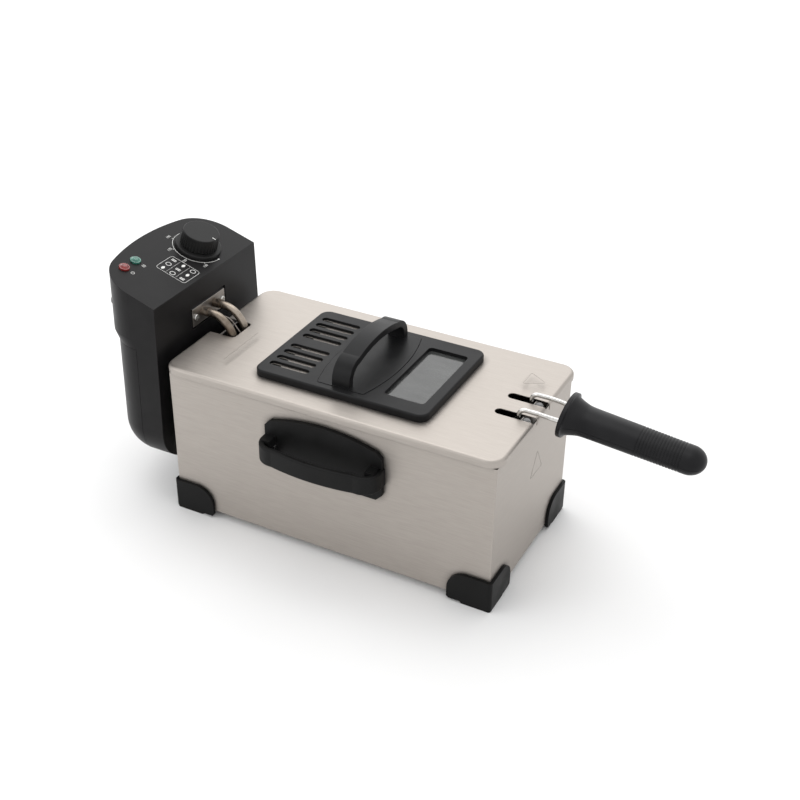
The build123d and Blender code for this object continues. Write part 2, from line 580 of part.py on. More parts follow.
def basket_rim():
    """The stout wire that binds the top edge of the mesh."""
    r = 2.0
    x0, x1, half = BASKET_X0 - r - 0.2, BASKET_X1 + r + 0.2, BASKET_HALF_W + r + 0.2
    path = Pos((x0 + x1) / 2, 0, BASKET_Z1 - r) * RectangleRounded(x1 - x0, 2 * half, 18).wire()
    return sweep(Plane(path @ 0, z_dir=path % 0) * Circle(r), path=path)


def basket_ribs():
    """Wires that cradle the mesh: three across and one along."""
    r = 1.5
    z0, z1 = BASKET_Z0 - r - 0.2, BASKET_Z1 - 4.6
    out, low = r + 0.6, BASKET_TAPER
    ribs = []
    half = BASKET_HALF_W + out
    for x in (-70.0, 12.5, 95.0):
        points = [(x, -half, z1), (x, -half + low, z0), (x, half - low, z0), (x, half, z1)]
        ribs.append(bent_rod(r, points, [12.5, 12.5]))
    return group(ribs)


BRACKET_X0, EAR_Y, EAR_T = BASKET_X1 + 4.6, 9.5, 1.6


def basket_bracket():
    """The pressed plate on the end of the basket, with two ears for the handle pins."""
    plate = block(BRACKET_X0 - 0.2, BRACKET_X0 + 1.0, -24, 24, 112, BASKET_Z1 - 6)
    for sy in (-1, 1):
        ear = block(BRACKET_X0, PIVOT_X + 4.5, EAR_Y - EAR_T / 2, EAR_Y + EAR_T / 2, 124, BASKET_Z1 - 2)
        plate += ear if sy > 0 else mirrored(ear)
    plate -= Pos(PIVOT_X, 0, PIVOT_Z) * Rot(90, 0, 0) * Cylinder(WIRE_R + 0.08, 40)
    hanger = block(BASKET_X1 - 0.5, BRACKET_X0, -24, 24, 112, 113.2)
    return plate + hanger


# ---- basket handle ------------------------------------------------------------------------------
def handle_wires():
    """Two wires: pinned in the bracket, up through the lid slots and out into the grip."""
    points = [(PIVOT_X, EAR_Y - 2.4, PIVOT_Z), (PIVOT_X, SLOT_Y, PIVOT_Z), (156.0, SLOT_Y, WIRE_TOP_Z),
              (172.0, SLOT_Y, WIRE_TOP_Z), in_grip(-11, SLOT_Y), in_grip(34, 10.0)]
    wire = bent_rod(WIRE_R, points, [3.2, 6.5, 30.0, 30.0])
    return group([wire, mirrored(wire)])


def in_grip(dx, y):
    """A point on the grip's widest line, dx mm in from the face of the collar."""
    return (GRIP_X0 + dx, y, GRIP_Z - dx * tan(radians(GRIP_DROOP)))


def grip_body():
    """The oval grip along +X: flared collar, waist, long barrel, fine rings and a round end."""
    dome_x = GRIP_LENGTH - GRIP_DOME
    neck = Spline((3.5, COLLAR_HALF_W), (8, 21.4), (15, 18.7), (GRIP_NECK_X, GRIP_NECK_R),
                  tangents=[(0.1, -1), (1, -0.03)])
    edges = [Line((0, 0), (0, COLLAR_HALF_W)), Line((0, COLLAR_HALF_W), (3.5, COLLAR_HALF_W)), neck,
             Line((GRIP_NECK_X, GRIP_NECK_R), (dome_x, GRIP_HALF_W)),
             EllipticalCenterArc((dome_x, 0), GRIP_DOME, GRIP_HALF_W, start_angle=0, arc_size=90),
             Line((GRIP_LENGTH, 0), (0, 0))]
    body = revolve(make_face(edges), axis=Axis.X)
    for i in range(RING_COUNT):
        x = RING_X0 + i * RING_PITCH
        taper = (x - GRIP_NECK_X) / (dome_x - GRIP_NECK_X)
        surface = GRIP_NECK_R + (GRIP_HALF_W - GRIP_NECK_R) * taper
        body -= revolve(Pos(x, surface + 0.4) * Rectangle(1.1, 1.8), axis=Axis.X)
    return scale(body, by=(1, 1, GRIP_FLATNESS))


def grip_place():
    return Pos(GRIP_X0, 0, GRIP_Z) * Rot(0, GRIP_DROOP, 0)


def grip_halves():
    """The grip is two mouldings, split along its widest line, over the ends of the wires."""
    body = grip_place() * grip_body()
    for sy in (-1, 1):
        body -= wire_channel(sy)
    gap = 0.15
    above = grip_place() * block(-20, 200, -60, 60, gap, 60)
    under = grip_place() * block(-20, 200, -60, 60, -60, -gap)
    upper, lower = body & above, body & under
    for x in grip_screw_places():
        lower -= grip_place() * Pos(x, 0, -10.1) * Cylinder(3.4, 6)
        lower -= grip_place() * Pos(x, 0, -6) * Cylinder(1.8, 14)
        upper -= grip_place() * Pos(x, 0, 0) * Cylinder(1.4, 12)
    return upper, lower


def wire_channel(sy):
    """Room for a wire end inside the grip."""
    slope = (SLOT_Y - 10.0) / 45
    channel = rod(WIRE_R + 0.1, in_grip(-6, SLOT_Y - 5 * slope), in_grip(36, 10.0 - 2 * slope))
    return channel if sy > 0 else mirrored(channel)


def grip_screw_places():
    return (56.0, 96.0)


def grip_screws():
    screw = pan_screw(3.0, 1.8, 1.3, 9)
    return group([grip_place() * Pos(x, 0, -7.2) * Rot(180, 0, 0) * screw for x in grip_screw_places()])


# ---- lid ----------------------------------------------------------------------------------------
def lid_shell():
    z0 = LID_TOP - LID_SKIRT
    outer = rounded_block(-LID_HALF_L, LID_HALF_L, -LID_HALF_W, LID_HALF_W, z0, LID_TOP, LID_CORNER_R)
    outer = fillet(outer.edges().group_by(Axis.Z)[-1], 3.2)
    t = LID_SHEET
    inner = rounded_block(-LID_HALF_L + t, LID_HALF_L - t, -LID_HALF_W + t, LID_HALF_W - t, z0 - 5,
                          LID_TOP - t, LID_CORNER_R - t)
    inner = fillet(inner.edges().group_by(Axis.Z)[-1], 3.2 - t)
    lid = outer - inner
    lid -= rounded_block(-LID_HALF_L - 20, NOTCH_X, -NOTCH_HALF_W, NOTCH_HALF_W, 100, 200, 4.0)
    for sy in (-1, 1):
        y = sy * SLOT_Y
        lid -= rounded_block(SLOT_X, LID_HALF_L + 20, y - SLOT_W / 2, y + SLOT_W / 2, 100, 200,
                             SLOT_W / 2 - 0.05)
    lid -= rounded_block(WINDOW_X0 + 4, WINDOW_X1 - 4, -WINDOW_HALF_W + 4, WINDOW_HALF_W - 4, 150, 200, 4)
    lid += vent_plateau(0, LID_TOP - t)
    lid -= vent_plateau(t, LID_TOP - 2 * t)
    for y in vent_places():
        lid -= rounded_block(VENT_X0 + 0.5, VENT_X0 + 11, y - 2.5, y + 2.5, 150, 200, 2.4)
    for x, y in lid_screw_places():
        lid -= Pos(x, y, LID_TOP) * Cylinder(2.1, 6)
    return lid


def vent_plateau(inset, z0):
    """The raised field of the lid under the vents, less an inset."""
    edge = 3.5 + inset
    return rounded_block(VENT_X0 - edge, VENT_X1 + edge, -PANEL_HALF_W + 5 + inset, PANEL_HALF_W - 5 - inset, z0,
                         LID_TOP + PLATEAU_H - inset, 6 - inset)


def vent_places():
    return [sy * (VENT_FIRST_Y + k * VENT_PITCH) for sy in (-1, 1) for k in range(4)]


def lid_screw_places():
    return [(0.0, -53.5), (0.0, 53.5)]


def base_lens(grow):
    """The outline of the lid handle's foot: two long sides that bow outwards."""
    circle = Circle(BASE_LENS_R + grow)
    lens = (Pos(BASE_LENS_R - BASE_HALF_X, 0) * circle) & (Pos(BASE_HALF_X - BASE_LENS_R, 0) * circle)
    return lens & Rectangle(200, 2 * (BASE_HALF_Y + grow))


def lid_panel():
    """The black top panel with its vents, window opening and seat for the handle."""
    panel = rounded_block(PANEL_X0, PANEL_X1, -PANEL_HALF_W, PANEL_HALF_W, LID_TOP, PANEL_TOP, 10)
    panel = fillet(panel.edges().group_by(Axis.Z)[-1], 1.8)
    panel -= rounded_block(WINDOW_X0, WINDOW_X1, -WINDOW_HALF_W, WINDOW_HALF_W, 150, 200, 4)
    panel -= rounded_block(WINDOW_X0 - 2.5, WINDOW_X1 + 2.5, -WINDOW_HALF_W - 2.5, WINDOW_HALF_W + 2.5,
                           150, GLASS_Z1 + 0.1, 4)
    panel -= extrude(Pos(0, 0, LID_TOP + 3.5) * base_lens(0.35), 20)
    panel -= rounded_block(VENT_X0 - 3.8, VENT_X1 + 3.8, -PANEL_HALF_W + 4.7, PANEL_HALF_W - 4.7, 150,
                           LID_TOP + PLATEAU_H + 0.1, 6.3)
    for y in vent_places():
        panel -= rounded_block(VENT_X0, VENT_X1, y - VENT_W / 2, y + VENT_W / 2, 150, 200, VENT_W / 2 - 0.05)
    for x, y in lid_screw_places():
        panel -= Pos(x, y, LID_TOP) * Cylinder(2.1, 20)
    return panel


GLASS_Z0, GLASS_Z1 = LID_TOP + 1.0, LID_TOP + 3.4


def window_ring(z0, z1, grow, hole):
    ring = rounded_block(WINDOW_X0 - grow, WINDOW_X1 + grow, -WINDOW_HALF_W - grow, WINDOW_HALF_W + grow,
                         z0, z1, 4)
    if hole:
        ring -= rounded_block(WINDOW_X0 + 4, WINDOW_X1 - 4, -WINDOW_HALF_W + 4, WINDOW_HALF_W - 4,
                              z0 - 5, z1 + 5, 4)
    return ring


def window_seal():
    return window_ring(LID_TOP, GLASS_Z0, 2.2, True)


def window_glass():
    return window_ring(GLASS_Z0, GLASS_Z1, 2.2, False)


ARCH_RISE, ARCH_BOW, ARCH_T, ARCH_HALF_W, ARCH_HALF_SPAN, ARCH_BEND_R = 24.0, 5.5, 6.5, 9.0, 57.0, 20.0


def arch_outline(inset):
    """The side view of the handle: upright legs, round bends and a shallow bow on top."""
    half, rise, bend = ARCH_HALF_SPAN - inset, ARCH_RISE - inset, ARCH_BEND_R - inset
    outline = Pos(0, rise / 2) * Rectangle(2 * half, rise)
    outline = fillet(outline.vertices().sort_by(Axis.Y)[-2:], bend)
    bow = ThreePointArc((bend - half, rise), (0, rise + ARCH_BOW), (half - bend, rise))
    return outline + make_face([bow, Line(bow @ 1, bow @ 0)])


def lid_handle():
    """The bridge-shaped lid handle with its lens-shaped foot."""
    base = extrude(Pos(0, 0, LID_TOP + 3.6) * base_lens(0), PANEL_TOP + 0.3 - LID_TOP - 3.6)
    side = Plane((0, 0, PANEL_TOP), x_dir=(0, 1, 0), z_dir=(1, 0, 0))
    arch = extrude(side * (arch_outline(0) - arch_outline(ARCH_T)), ARCH_HALF_W, both=True)
    handle = base + arch
    for x, y in lid_screw_places():
        handle -= Pos(x, y, LID_TOP + 3) * Cylinder(1.5, 12)
    return handle


def lid_handle_screws():
    screw = pan_screw(3.6, 1.9, 1.4, 8)
    return group([Pos(x, y, LID_TOP - LID_SHEET) * Rot(180, 0, 0) * screw for x, y in lid_screw_places()])


# ---- every piece by name ------------------------------------------------------------------------
def build():
    cavity = control_cavity()
    grip_upper, grip_lower = grip_halves()
    pieces = {
        "housing_shell": housing_shell(),
        "base_plate": base_plate(),
        "foot_front_left": foot(-1, -1),
        "foot_front_right": foot(1, -1),
        "foot_rear_left": foot(-1, 1),
        "foot_rear_right": foot(1, 1),
        "foot_screws": foot_screws(),
        "carry_handle_front": carry_handle(-1),
        "carry_handle_rear": carry_handle(1),
        "carry_handle_screws": carry_handle_screws(),
        "control_rail": control_rail(),
        "rail_rivets": rail_rivets(),
        "oil_tank": oil_tank(),
        "drain_studs": drain_studs(),
        "control_housing": control_housing(cavity),
        "control_rear_cover": control_rear_cover(cavity),
        "cover_screws": cover_screws(),
        "cord_gland": cord_gland(),
        "control_hooks": control_hooks(),
        "hook_screws": hook_screws(),
        "element_plate": element_plate(),
        "element_gasket": element_gasket(),
        "plate_screws": plate_screws(),
        "element_collars": element_collars(),
        "heating_element": heating_element(),
        "capillary_tube": capillary_tube(),
        "thermostat_bulb": thermostat_bulb(),
        "bulb_clip": bulb_clip(),
        "thermostat_body": thermostat_body(),
        "lamp_lens_red": lamp_lens(LAMP_RED_Y),
        "lamp_lens_green": lamp_lens(LAMP_GREEN_Y),
        "lamp_holders": lamp_holders(),
        "terminal_block": terminal_block(),
        "terminal_screws": terminal_screws(),
        "thermal_cutout": thermal_cutout(),
        "safety_switch": safety_switch(),
        "thermostat_spindle": thermostat_spindle(),
        "dial_knob": dial_knob(),
        "reset_button": reset_button(),
        "switch_plunger": switch_plunger(),
        "basket_mesh": basket_mesh(),
        "basket_rim": basket_rim(),
        "basket_ribs": basket_ribs(),
        "basket_bracket": basket_bracket(),
        "handle_wires": handle_wires(),
        "grip_upper": grip_upper,
        "grip_lower": grip_lower,
        "grip_screws": grip_screws(),
        "lid_shell": lid_shell(),
        "lid_panel": lid_panel(),
        "lid_handle": lid_handle(),
        "lid_handle_screws": lid_handle_screws(),
        "window_seal": window_seal(),
        "window_glass": window_glass(),
    }
    os.makedirs("parts", exist_ok=True)
    for name, piece in pieces.items():
        export_step(Pos(ORIGIN_X, 0, 0) * piece, f"parts/{name}.step")
    return pieces


build()
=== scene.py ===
"""Looks of the deep fryer: materials for every CAD node, printed marks, lid embossing and the woven basket.

Metres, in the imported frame's own axes: +X to the basket handle, -Y to the front, +Z up.
"""
import json
import math

import bmesh
import bpy
from mathutils import Matrix, Vector


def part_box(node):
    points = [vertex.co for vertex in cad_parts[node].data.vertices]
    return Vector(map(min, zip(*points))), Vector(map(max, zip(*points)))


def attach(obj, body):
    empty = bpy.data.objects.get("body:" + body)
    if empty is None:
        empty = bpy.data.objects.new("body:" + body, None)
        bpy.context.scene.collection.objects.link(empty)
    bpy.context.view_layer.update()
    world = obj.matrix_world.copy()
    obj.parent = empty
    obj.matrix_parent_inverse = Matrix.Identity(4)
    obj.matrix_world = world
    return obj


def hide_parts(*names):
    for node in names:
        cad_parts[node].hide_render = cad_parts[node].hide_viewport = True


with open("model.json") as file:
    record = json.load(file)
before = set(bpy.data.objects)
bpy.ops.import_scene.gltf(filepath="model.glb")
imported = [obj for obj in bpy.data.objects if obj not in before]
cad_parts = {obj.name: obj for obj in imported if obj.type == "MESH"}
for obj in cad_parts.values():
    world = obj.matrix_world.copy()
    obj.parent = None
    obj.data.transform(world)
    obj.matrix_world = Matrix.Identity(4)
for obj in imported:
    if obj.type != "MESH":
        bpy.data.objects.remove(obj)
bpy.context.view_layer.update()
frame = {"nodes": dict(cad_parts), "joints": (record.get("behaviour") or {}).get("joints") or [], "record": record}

MM = 0.001
# reach of the painted shade that darkens the steel near other surfaces
PAINTED_SHADE_REACH = 7 * MM
NODES = frame["nodes"]
JOINTS = {joint["name"]: joint for joint in frame["joints"]}
SLOT_OF = {part["node"]: part["material_slot"] for part in frame["record"]["subparts"]}


# ---- shader building blocks -------------------------------------------------------------------------
def new_material(name, **sockets):
    """A principled material. Socket names are written with underscores for spaces."""
    material = bpy.data.materials.new(name)
    material.use_nodes = True
    tree = material.node_tree
    shader = tree.nodes["Principled BSDF"]
    for socket, value in sockets.items():
        shader.inputs[socket.replace("_", " ")].default_value = value
    return material, tree, shader


def noise(tree, scale, stretch=(1, 1, 1), detail=3.0):
    """Noise in the frame's metres: a scale of 1000 gives features of about 1 mm."""
    place = tree.nodes.new("ShaderNodeTexCoord")
    mapping = tree.nodes.new("ShaderNodeMapping")
    mapping.inputs["Scale"].default_value = stretch
    texture = tree.nodes.new("ShaderNodeTexNoise")
    texture.inputs["Scale"].default_value = scale
    texture.inputs["Detail"].default_value = detail
    tree.links.new(place.outputs["Object"], mapping.inputs["Vector"])
    tree.links.new(mapping.outputs["Vector"], texture.inputs["Vector"])
    return texture.outputs["Fac"]


def ramp(tree, source, low, high, start=0.3, end=0.7):
    """Colour that runs from low to high with the source."""
    node = tree.nodes.new("ShaderNodeValToRGB")
    node.color_ramp.elements[0].position = start
    node.color_ramp.elements[1].position = end
    node.color_ramp.elements[0].color = (*low, 1)
    node.color_ramp.elements[1].color = (*high, 1)
    tree.links.new(source, node.inputs["Fac"])
    return node.outputs["Color"]


def spread(tree, source, low, high):
    """A number that runs from low to high with the source."""
    node = tree.nodes.new("ShaderNodeMapRange")
    node.inputs["From Min"].default_value = 0.3
    node.inputs["From Max"].default_value = 0.7
    node.inputs["To Min"].default_value = low
    node.inputs["To Max"].default_value = high
    tree.links.new(source, node.inputs["Value"])
    return node.outputs["Result"]


def bump(tree, shader, source, strength, depth, edge=0.0):
    """Relief from the source, over edges softened by the given radius."""
    node = tree.nodes.new("ShaderNodeBump")
    node.inputs["Strength"].default_value = strength
    node.inputs["Distance"].default_value = depth
    tree.links.new(source, node.inputs["Height"])
    if edge:
        soften = tree.nodes.new("ShaderNodeBevel")
        soften.samples = 4
        soften.inputs["Radius"].default_value = edge
        tree.links.new(soften.outputs["Normal"], node.inputs["Normal"])
    tree.links.new(node.outputs["Normal"], shader.inputs["Normal"])


def painted_crevice_shade(tree, colour):
    """The colour, darkened where another surface stands close: painted shade in crevices and under overhangs."""
    shade = tree.nodes.new("ShaderNodeAmbientOcclusion")
    shade.samples = 8
    shade.inputs["Distance"].default_value = PAINTED_SHADE_REACH
    tree.links.new(colour, shade.inputs["Color"])
    return shade.outputs["Color"]


# ---- materials --------------------------------------------------------------------------------------
def brushed(name, dark, light, rough):
    """Rolled stainless sheet: long fine grain, turned on the end faces, and painted shade darkening the colour in
    the crevices.
    """
    material, tree, shader = new_material(name, Metallic=1.0)
    along_x = noise(tree, 60, (1, 40, 40), 4)
    along_y = noise(tree, 60, (40, 1, 40), 4)
    geometry = tree.nodes.new("ShaderNodeNewGeometry")
    axes = tree.nodes.new("ShaderNodeSeparateXYZ")
    facing = tree.nodes.new("ShaderNodeMath")
    facing.operation = "ABSOLUTE"
    mix = tree.nodes.new("ShaderNodeMix")
    tree.links.new(geometry.outputs["Normal"], axes.inputs["Vector"])
    tree.links.new(axes.outputs["X"], facing.inputs[0])
    tree.links.new(facing.outputs["Value"], mix.inputs["Factor"])
    tree.links.new(along_x, mix.inputs["A"])
    tree.links.new(along_y, mix.inputs["B"])
    grain = mix.outputs["Result"]
    # base colour carries painted shade: the occlusion node darkens it in crevices and under overhangs
    tree.links.new(painted_crevice_shade(tree, ramp(tree, grain, dark, light, 0.2, 0.8)), shader.inputs["Base Color"])
    tree.links.new(spread(tree, grain, *rough), shader.inputs["Roughness"])
    bump(tree, shader, grain, 0.14, 0.05 * MM, 0.9 * MM)
    return material


def moulded(name, dark, light, rough):
    """Moulded plastic: a spark-eroded grain with slight changes of tone and gloss."""
    material, tree, shader = new_material(name, Specular_IOR_Level=0.15)
    tone = noise(tree, 45, (1, 1, 1), 4)
    texture = noise(tree, 1500, (1, 1, 1), 2)
    tree.links.new(ramp(tree, tone, dark, light), shader.inputs["Base Color"])
    tree.links.new(spread(tree, tone, *rough), shader.inputs["Roughness"])
    bump(tree, shader, texture, 0.25, 0.06 * MM, 0.5 * MM)
    return material


def rubber(name, dark, light):
    """Matt rubber with a faint bloom."""
    material, tree, shader = new_material(name, Sheen_Weight=0.2, Sheen_Roughness=0.5)
    bloom = noise(tree, 220, (1, 1, 1), 5)
    tree.links.new(ramp(tree, bloom, dark, light), shader.inputs["Base Color"])
    tree.links.new(spread(tree, bloom, 0.62, 0.8), shader.inputs["Roughness"])
    bump(tree, shader, bloom, 0.2, 0.08 * MM, 0.3 * MM)
    return material


def plated(name, dark, light, rough, wear=400):
    """Bright plated or machined metal with fine handling marks."""
    material, tree, shader = new_material(name, Metallic=1.0)
    marks = noise(tree, wear, (1, 1, 1), 5)
    tree.links.new(ramp(tree, marks, dark, light), shader.inputs["Base Color"])
    tree.links.new(spread(tree, marks, *rough), shader.inputs["Roughness"])
    bump(tree, shader, marks, 0.06, 0.03 * MM, 0.2 * MM)
    return material


def heater_steel(name):
    """Drawn tube that heat has tinted straw and brown in patches."""
    material, tree, shader = new_material(name, Metallic=1.0)
    tint = noise(tree, 55, (1, 1, 1), 4)
    drawn = noise(tree, 900, (1, 1, 1), 3)
    tree.links.new(ramp(tree, tint, (0.16, 0.125, 0.095), (0.36, 0.31, 0.26), 0.35, 0.62),
                   shader.inputs["Base Color"])
    tree.links.new(spread(tree, drawn, 0.24, 0.40), shader.inputs["Roughness"])
    bump(tree, shader, drawn, 0.10, 0.04 * MM)
    return material


def lens(name, dark, light):
    """Tinted lamp lens, deeper in tone where the moulding is thick."""
    material, tree, shader = new_material(name, Coat_Weight=0.6, Coat_Roughness=0.06,
                                          Transmission_Weight=0.25, IOR=1.49)
    depth = noise(tree, 320, (1, 1, 1), 2)
    facets = noise(tree, 900, (1, 1, 1), 1)
    tree.links.new(ramp(tree, depth, dark, light), shader.inputs["Base Color"])
    tree.links.new(spread(tree, depth, 0.14, 0.24), shader.inputs["Roughness"])
    bump(tree, shader, facets, 0.25, 0.08 * MM)
    return material


def window(name):
    """Toughened glass with a light film of steam and wiping marks."""
    material, tree, shader = new_material(name, Transmission_Weight=0.35, IOR=1.5,
                                          Coat_Weight=0.2, Coat_Roughness=0.08)
    film = noise(tree, 40, (1, 2.5, 1), 5)
    tree.links.new(ramp(tree, film, (0.045, 0.047, 0.046), (0.085, 0.088, 0.086)), shader.inputs["Base Color"])
    tree.links.new(spread(tree, film, 0.10, 0.20), shader.inputs["Roughness"])
    bump(tree, shader, film, 0.03, 0.05 * MM)
    return material


def print_ink(name, dark=(0.62, 0.62, 0.60), light=(0.80, 0.80, 0.78)):
    """Screen-printed ink, slightly uneven."""
    material, tree, shader = new_material(name)
    cover = noise(tree, 900, (1, 1, 1), 4)
    tree.links.new(ramp(tree, cover, dark, light), shader.inputs["Base Color"])
    tree.links.new(spread(tree, cover, 0.5, 0.65), shader.inputs["Roughness"])
    bump(tree, shader, cover, 0.15, 0.02 * MM)
    return material


MATERIALS = {
    "brushed_stainless": brushed("brushed_stainless", (0.37, 0.336, 0.306), (0.49, 0.455, 0.42), (0.40, 0.54)),
    "plain_stainless": brushed("plain_stainless", (0.36, 0.34, 0.32), (0.46, 0.44, 0.42), (0.32, 0.44)),
    "foot_plastic": moulded("foot_plastic", (0.003, 0.003, 0.003), (0.006, 0.006, 0.006), (0.42, 0.55)),
    "handle_plastic": moulded("handle_plastic", (0.004, 0.004, 0.004), (0.008, 0.008, 0.008), (0.42, 0.56)),
    "control_plastic": moulded("control_plastic", (0.006, 0.0056, 0.006), (0.011, 0.0105, 0.011),
                               (0.34, 0.44)),
    "panel_plastic": moulded("panel_plastic", (0.007, 0.007, 0.0075), (0.012, 0.012, 0.0125), (0.34, 0.46)),
    "knob_plastic": moulded("knob_plastic", (0.010, 0.010, 0.010), (0.018, 0.018, 0.018), (0.34, 0.46)),
    "grip_plastic": moulded("grip_plastic", (0.007, 0.007, 0.008), (0.013, 0.013, 0.014), (0.32, 0.42)),
    "gland_plastic": moulded("gland_plastic", (0.010, 0.010, 0.010), (0.02, 0.02, 0.02), (0.5, 0.6)),
    "switch_plastic": moulded("switch_plastic", (0.20, 0.19, 0.17), (0.28, 0.27, 0.25), (0.45, 0.6)),
    "terminal_plastic": moulded("terminal_plastic", (0.70, 0.69, 0.65), (0.82, 0.81, 0.77), (0.4, 0.55)),
    "plunger_plastic": moulded("plunger_plastic", (0.42, 0.07, 0.05), (0.55, 0.10, 0.07), (0.25, 0.35)),
    "stud_rubber": rubber("stud_rubber", (0.17, 0.17, 0.17), (0.26, 0.26, 0.26)),
    "gasket_rubber": rubber("gasket_rubber", (0.014, 0.014, 0.014), (0.028, 0.028, 0.028)),
    "zinc_screw": plated("zinc_screw", (0.55, 0.55, 0.53), (0.74, 0.74, 0.72), (0.18, 0.32)),
    "brass_screw": plated("brass_screw", (0.55, 0.40, 0.16), (0.72, 0.55, 0.26), (0.2, 0.35)),
    "heater_steel": heater_steel("heater_steel"),
    "capillary_copper": plated("capillary_copper", (0.17, 0.15, 0.135), (0.28, 0.25, 0.23), (0.3, 0.45)),
    "basket_wire": plated("basket_wire", (0.52, 0.51, 0.49), (0.72, 0.71, 0.69), (0.14, 0.26), 250),
    "red_lens": lens("red_lens", (0.14, 0.008, 0.008), (0.34, 0.018, 0.016)),
    "green_lens": lens("green_lens", (0.02, 0.13, 0.10), (0.07, 0.28, 0.21)),
    "window_glass": window("window_glass"),
}
INK = print_ink("panel_ink")


def dress_cad_nodes():
    for name, node in NODES.items():
        node.data.materials.clear()
        node.data.materials.append(MATERIALS[SLOT_OF[name]])


# ---- mesh helpers -----------------------------------------------------------------------------------
def finish_piece(bm, name, material, body):
    """Turns a bmesh into a named piece that rides on a CAD body."""
    bmesh.ops.recalc_face_normals(bm, faces=bm.faces)
    mesh = bpy.data.meshes.new(name)
    bm.to_mesh(mesh)
    bm.free()
    mesh.materials.append(material)
    piece = bpy.data.objects.new(name, mesh)
    bpy.context.scene.collection.objects.link(piece)
    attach(piece, body)
    return piece


def prism(bm, outline, place, low, high):
    """A closed slab over a flat outline, between two heights above the placed plane."""
    rings = [[bm.verts.new(place @ Vector((x, y, z))) for x, y in outline] for z in (low, high)]
    bm.faces.new(rings[0])
    bm.faces.new(rings[1])
    for i in range(len(outline)):
        j = (i + 1) % len(outline)
        bm.faces.new((rings[0][i], rings[0][j], rings[1][j], rings[1][i]))


def stroke(bm, points, width, place, low, high, closed=False):
    """A line of even width along flat points, as one slab per run with mitred joints."""
    count = len(points)
    sides = []
    for i, point in enumerate(points):
        before = points[(i - 1) % count] if closed or i else point
        after = points[(i + 1) % count] if closed or i < count - 1 else point
        a = Vector((point[0] - before[0], point[1] - before[1]))
        b = Vector((after[0] - point[0], after[1] - point[1]))
        a = a.normalized() if a.length else b.normalized()
        b = b.normalized() if b.length else a
        along = (a + b).normalized()
        across = Vector((-along.y, along.x)) * (width / 2 / max(0.5, along.dot(a)))
        sides.append(((point[0] + across.x, point[1] + across.y), (point[0] - across.x, point[1] - across.y)))
    for i in range(count if closed else count - 1):
        (p, q), (r, s) = sides[i], sides[(i + 1) % count]
        prism(bm, (p, q, s, r), place, low, high)


def arc(cx, cy, radius, start, end, steps):
    """Points along an arc, with angles in degrees."""
    turn = [math.radians(start + (end - start) * i / steps) for i in range(steps + 1)]
    return [(cx + radius * math.cos(a), cy + radius * math.sin(a)) for a in turn]


def rounded(x0, x1, y0, y1, radius, steps=4):
    """The outline of a rounded rectangle."""
    corners = ((x1 - radius, y1 - radius, 0), (x0 + radius, y1 - radius, 90),
               (x0 + radius, y0 + radius, 180), (x1 - radius, y0 + radius, 270))
    return [point for cx, cy, turn in corners for point in arc(cx, cy, radius, turn, turn + 90, steps)]


def tube(bm, points, radius, sides=6, closed=False):
    """A round wire along points, kept untwisted from one point to the next."""
    count = len(points)
    up, rings = None, []
    for i, point in enumerate(points):
        before = points[i - 1] if closed or i else point
        after = points[(i + 1) % count] if closed or i < count - 1 else point
        along = (after - before).normalized()
        up = along.orthogonal() if up is None else up - along * up.dot(along)
        up.normalize()
        side = along.cross(up)
        rings.append([bm.verts.new(point + radius * (math.cos(a) * up + math.sin(a) * side))
                      for a in (math.tau * k / sides for k in range(sides))])
    for i in range(count if closed else count - 1):
        here, there = rings[i], rings[(i + 1) % count]
        for k in range(sides):
            bm.faces.new((here[k], here[(k + 1) % sides], there[(k + 1) % sides], there[k])).smooth = True
    if not closed:
        bm.faces.new(rings[0])
        bm.faces.new(rings[-1])


# ---- control panel print ----------------------------------------------------------------------------
INK_LOW, INK_HIGH = -0.02 * MM, 0.05 * MM
KNOB_CENTRE = Vector(JOINTS["knob_turn"]["pos_m"])
PANEL_NORMAL = -Vector(JOINTS["knob_turn"]["axis"])
PANEL_UP = Vector((-PANEL_NORMAL.z, 0, PANEL_NORMAL.x))
KNOB_FROM_EDGE = (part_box("control_housing")[1].x - KNOB_CENTRE.x) / PANEL_NORMAL.z


def panel_place(s, y):
    """The plane of the panel at s up the slope and y across: local x is up the slope, local y to the front."""
    centre = KNOB_CENTRE + PANEL_UP * (s - KNOB_FROM_EDGE)
    centre.y = y
    across = PANEL_NORMAL.cross(PANEL_UP)
    turn = Matrix((PANEL_UP, across, PANEL_NORMAL)).transposed().to_4x4()
    return Matrix.Translation(centre) @ turn


def panel_piece(name, draw, s, y):
    bm = bmesh.new()
    draw(bm, panel_place(s, y))
    return finish_piece(bm, name, INK, "control_unit")


def draw_dial_scale(bm, place):
    """The thin arc round the dial, with a dot at each end and a tick at each step."""
    radius, sweep = 25.3 * MM, JOINTS["knob_turn"]["range_deg"][1]
    start, end = 180.0, 180.0 - sweep
    stroke(bm, arc(0, 0, radius, start, end, 60), 0.45 * MM, place, INK_LOW, INK_HIGH)
    for turn in (start, end):
        x, y = arc(0, 0, radius, turn, turn, 1)[0]
        prism(bm, arc(x, y, 0.9 * MM, 0, 330, 11), place, INK_LOW, 1.2 * INK_HIGH)
    for step in range(1, 5):
        turn = start - sweep * step / 5
        inner = arc(0, 0, radius, turn, turn, 1)[0]
        outer = arc(0, 0, radius + 1.8 * MM, turn, turn, 1)[0]
        stroke(bm, (inner, outer), 0.5 * MM, place, INK_LOW, INK_HIGH)


def draw_pictograms(bm, place):
    """A rounded box that holds three rows of plain shapes."""
    length, width = 34.0 * MM, 26.5 * MM
    stroke(bm, rounded(0, length, 0, width, 3 * MM), 0.35 * MM, place, INK_LOW, INK_HIGH, closed=True)
    for line in (1, 2):
        x = length * line / 3
        stroke(bm, ((x, 1.5 * MM), (x, width - 1.5 * MM)), 0.2 * MM, place, INK_LOW, INK_HIGH)
    for row in range(3):
        for column in range(3):
            x, y = length * (row + 0.5) / 3, width * (column + 0.5) / 3
            draw_icon(bm, place, x, y, (row + column) % 3)


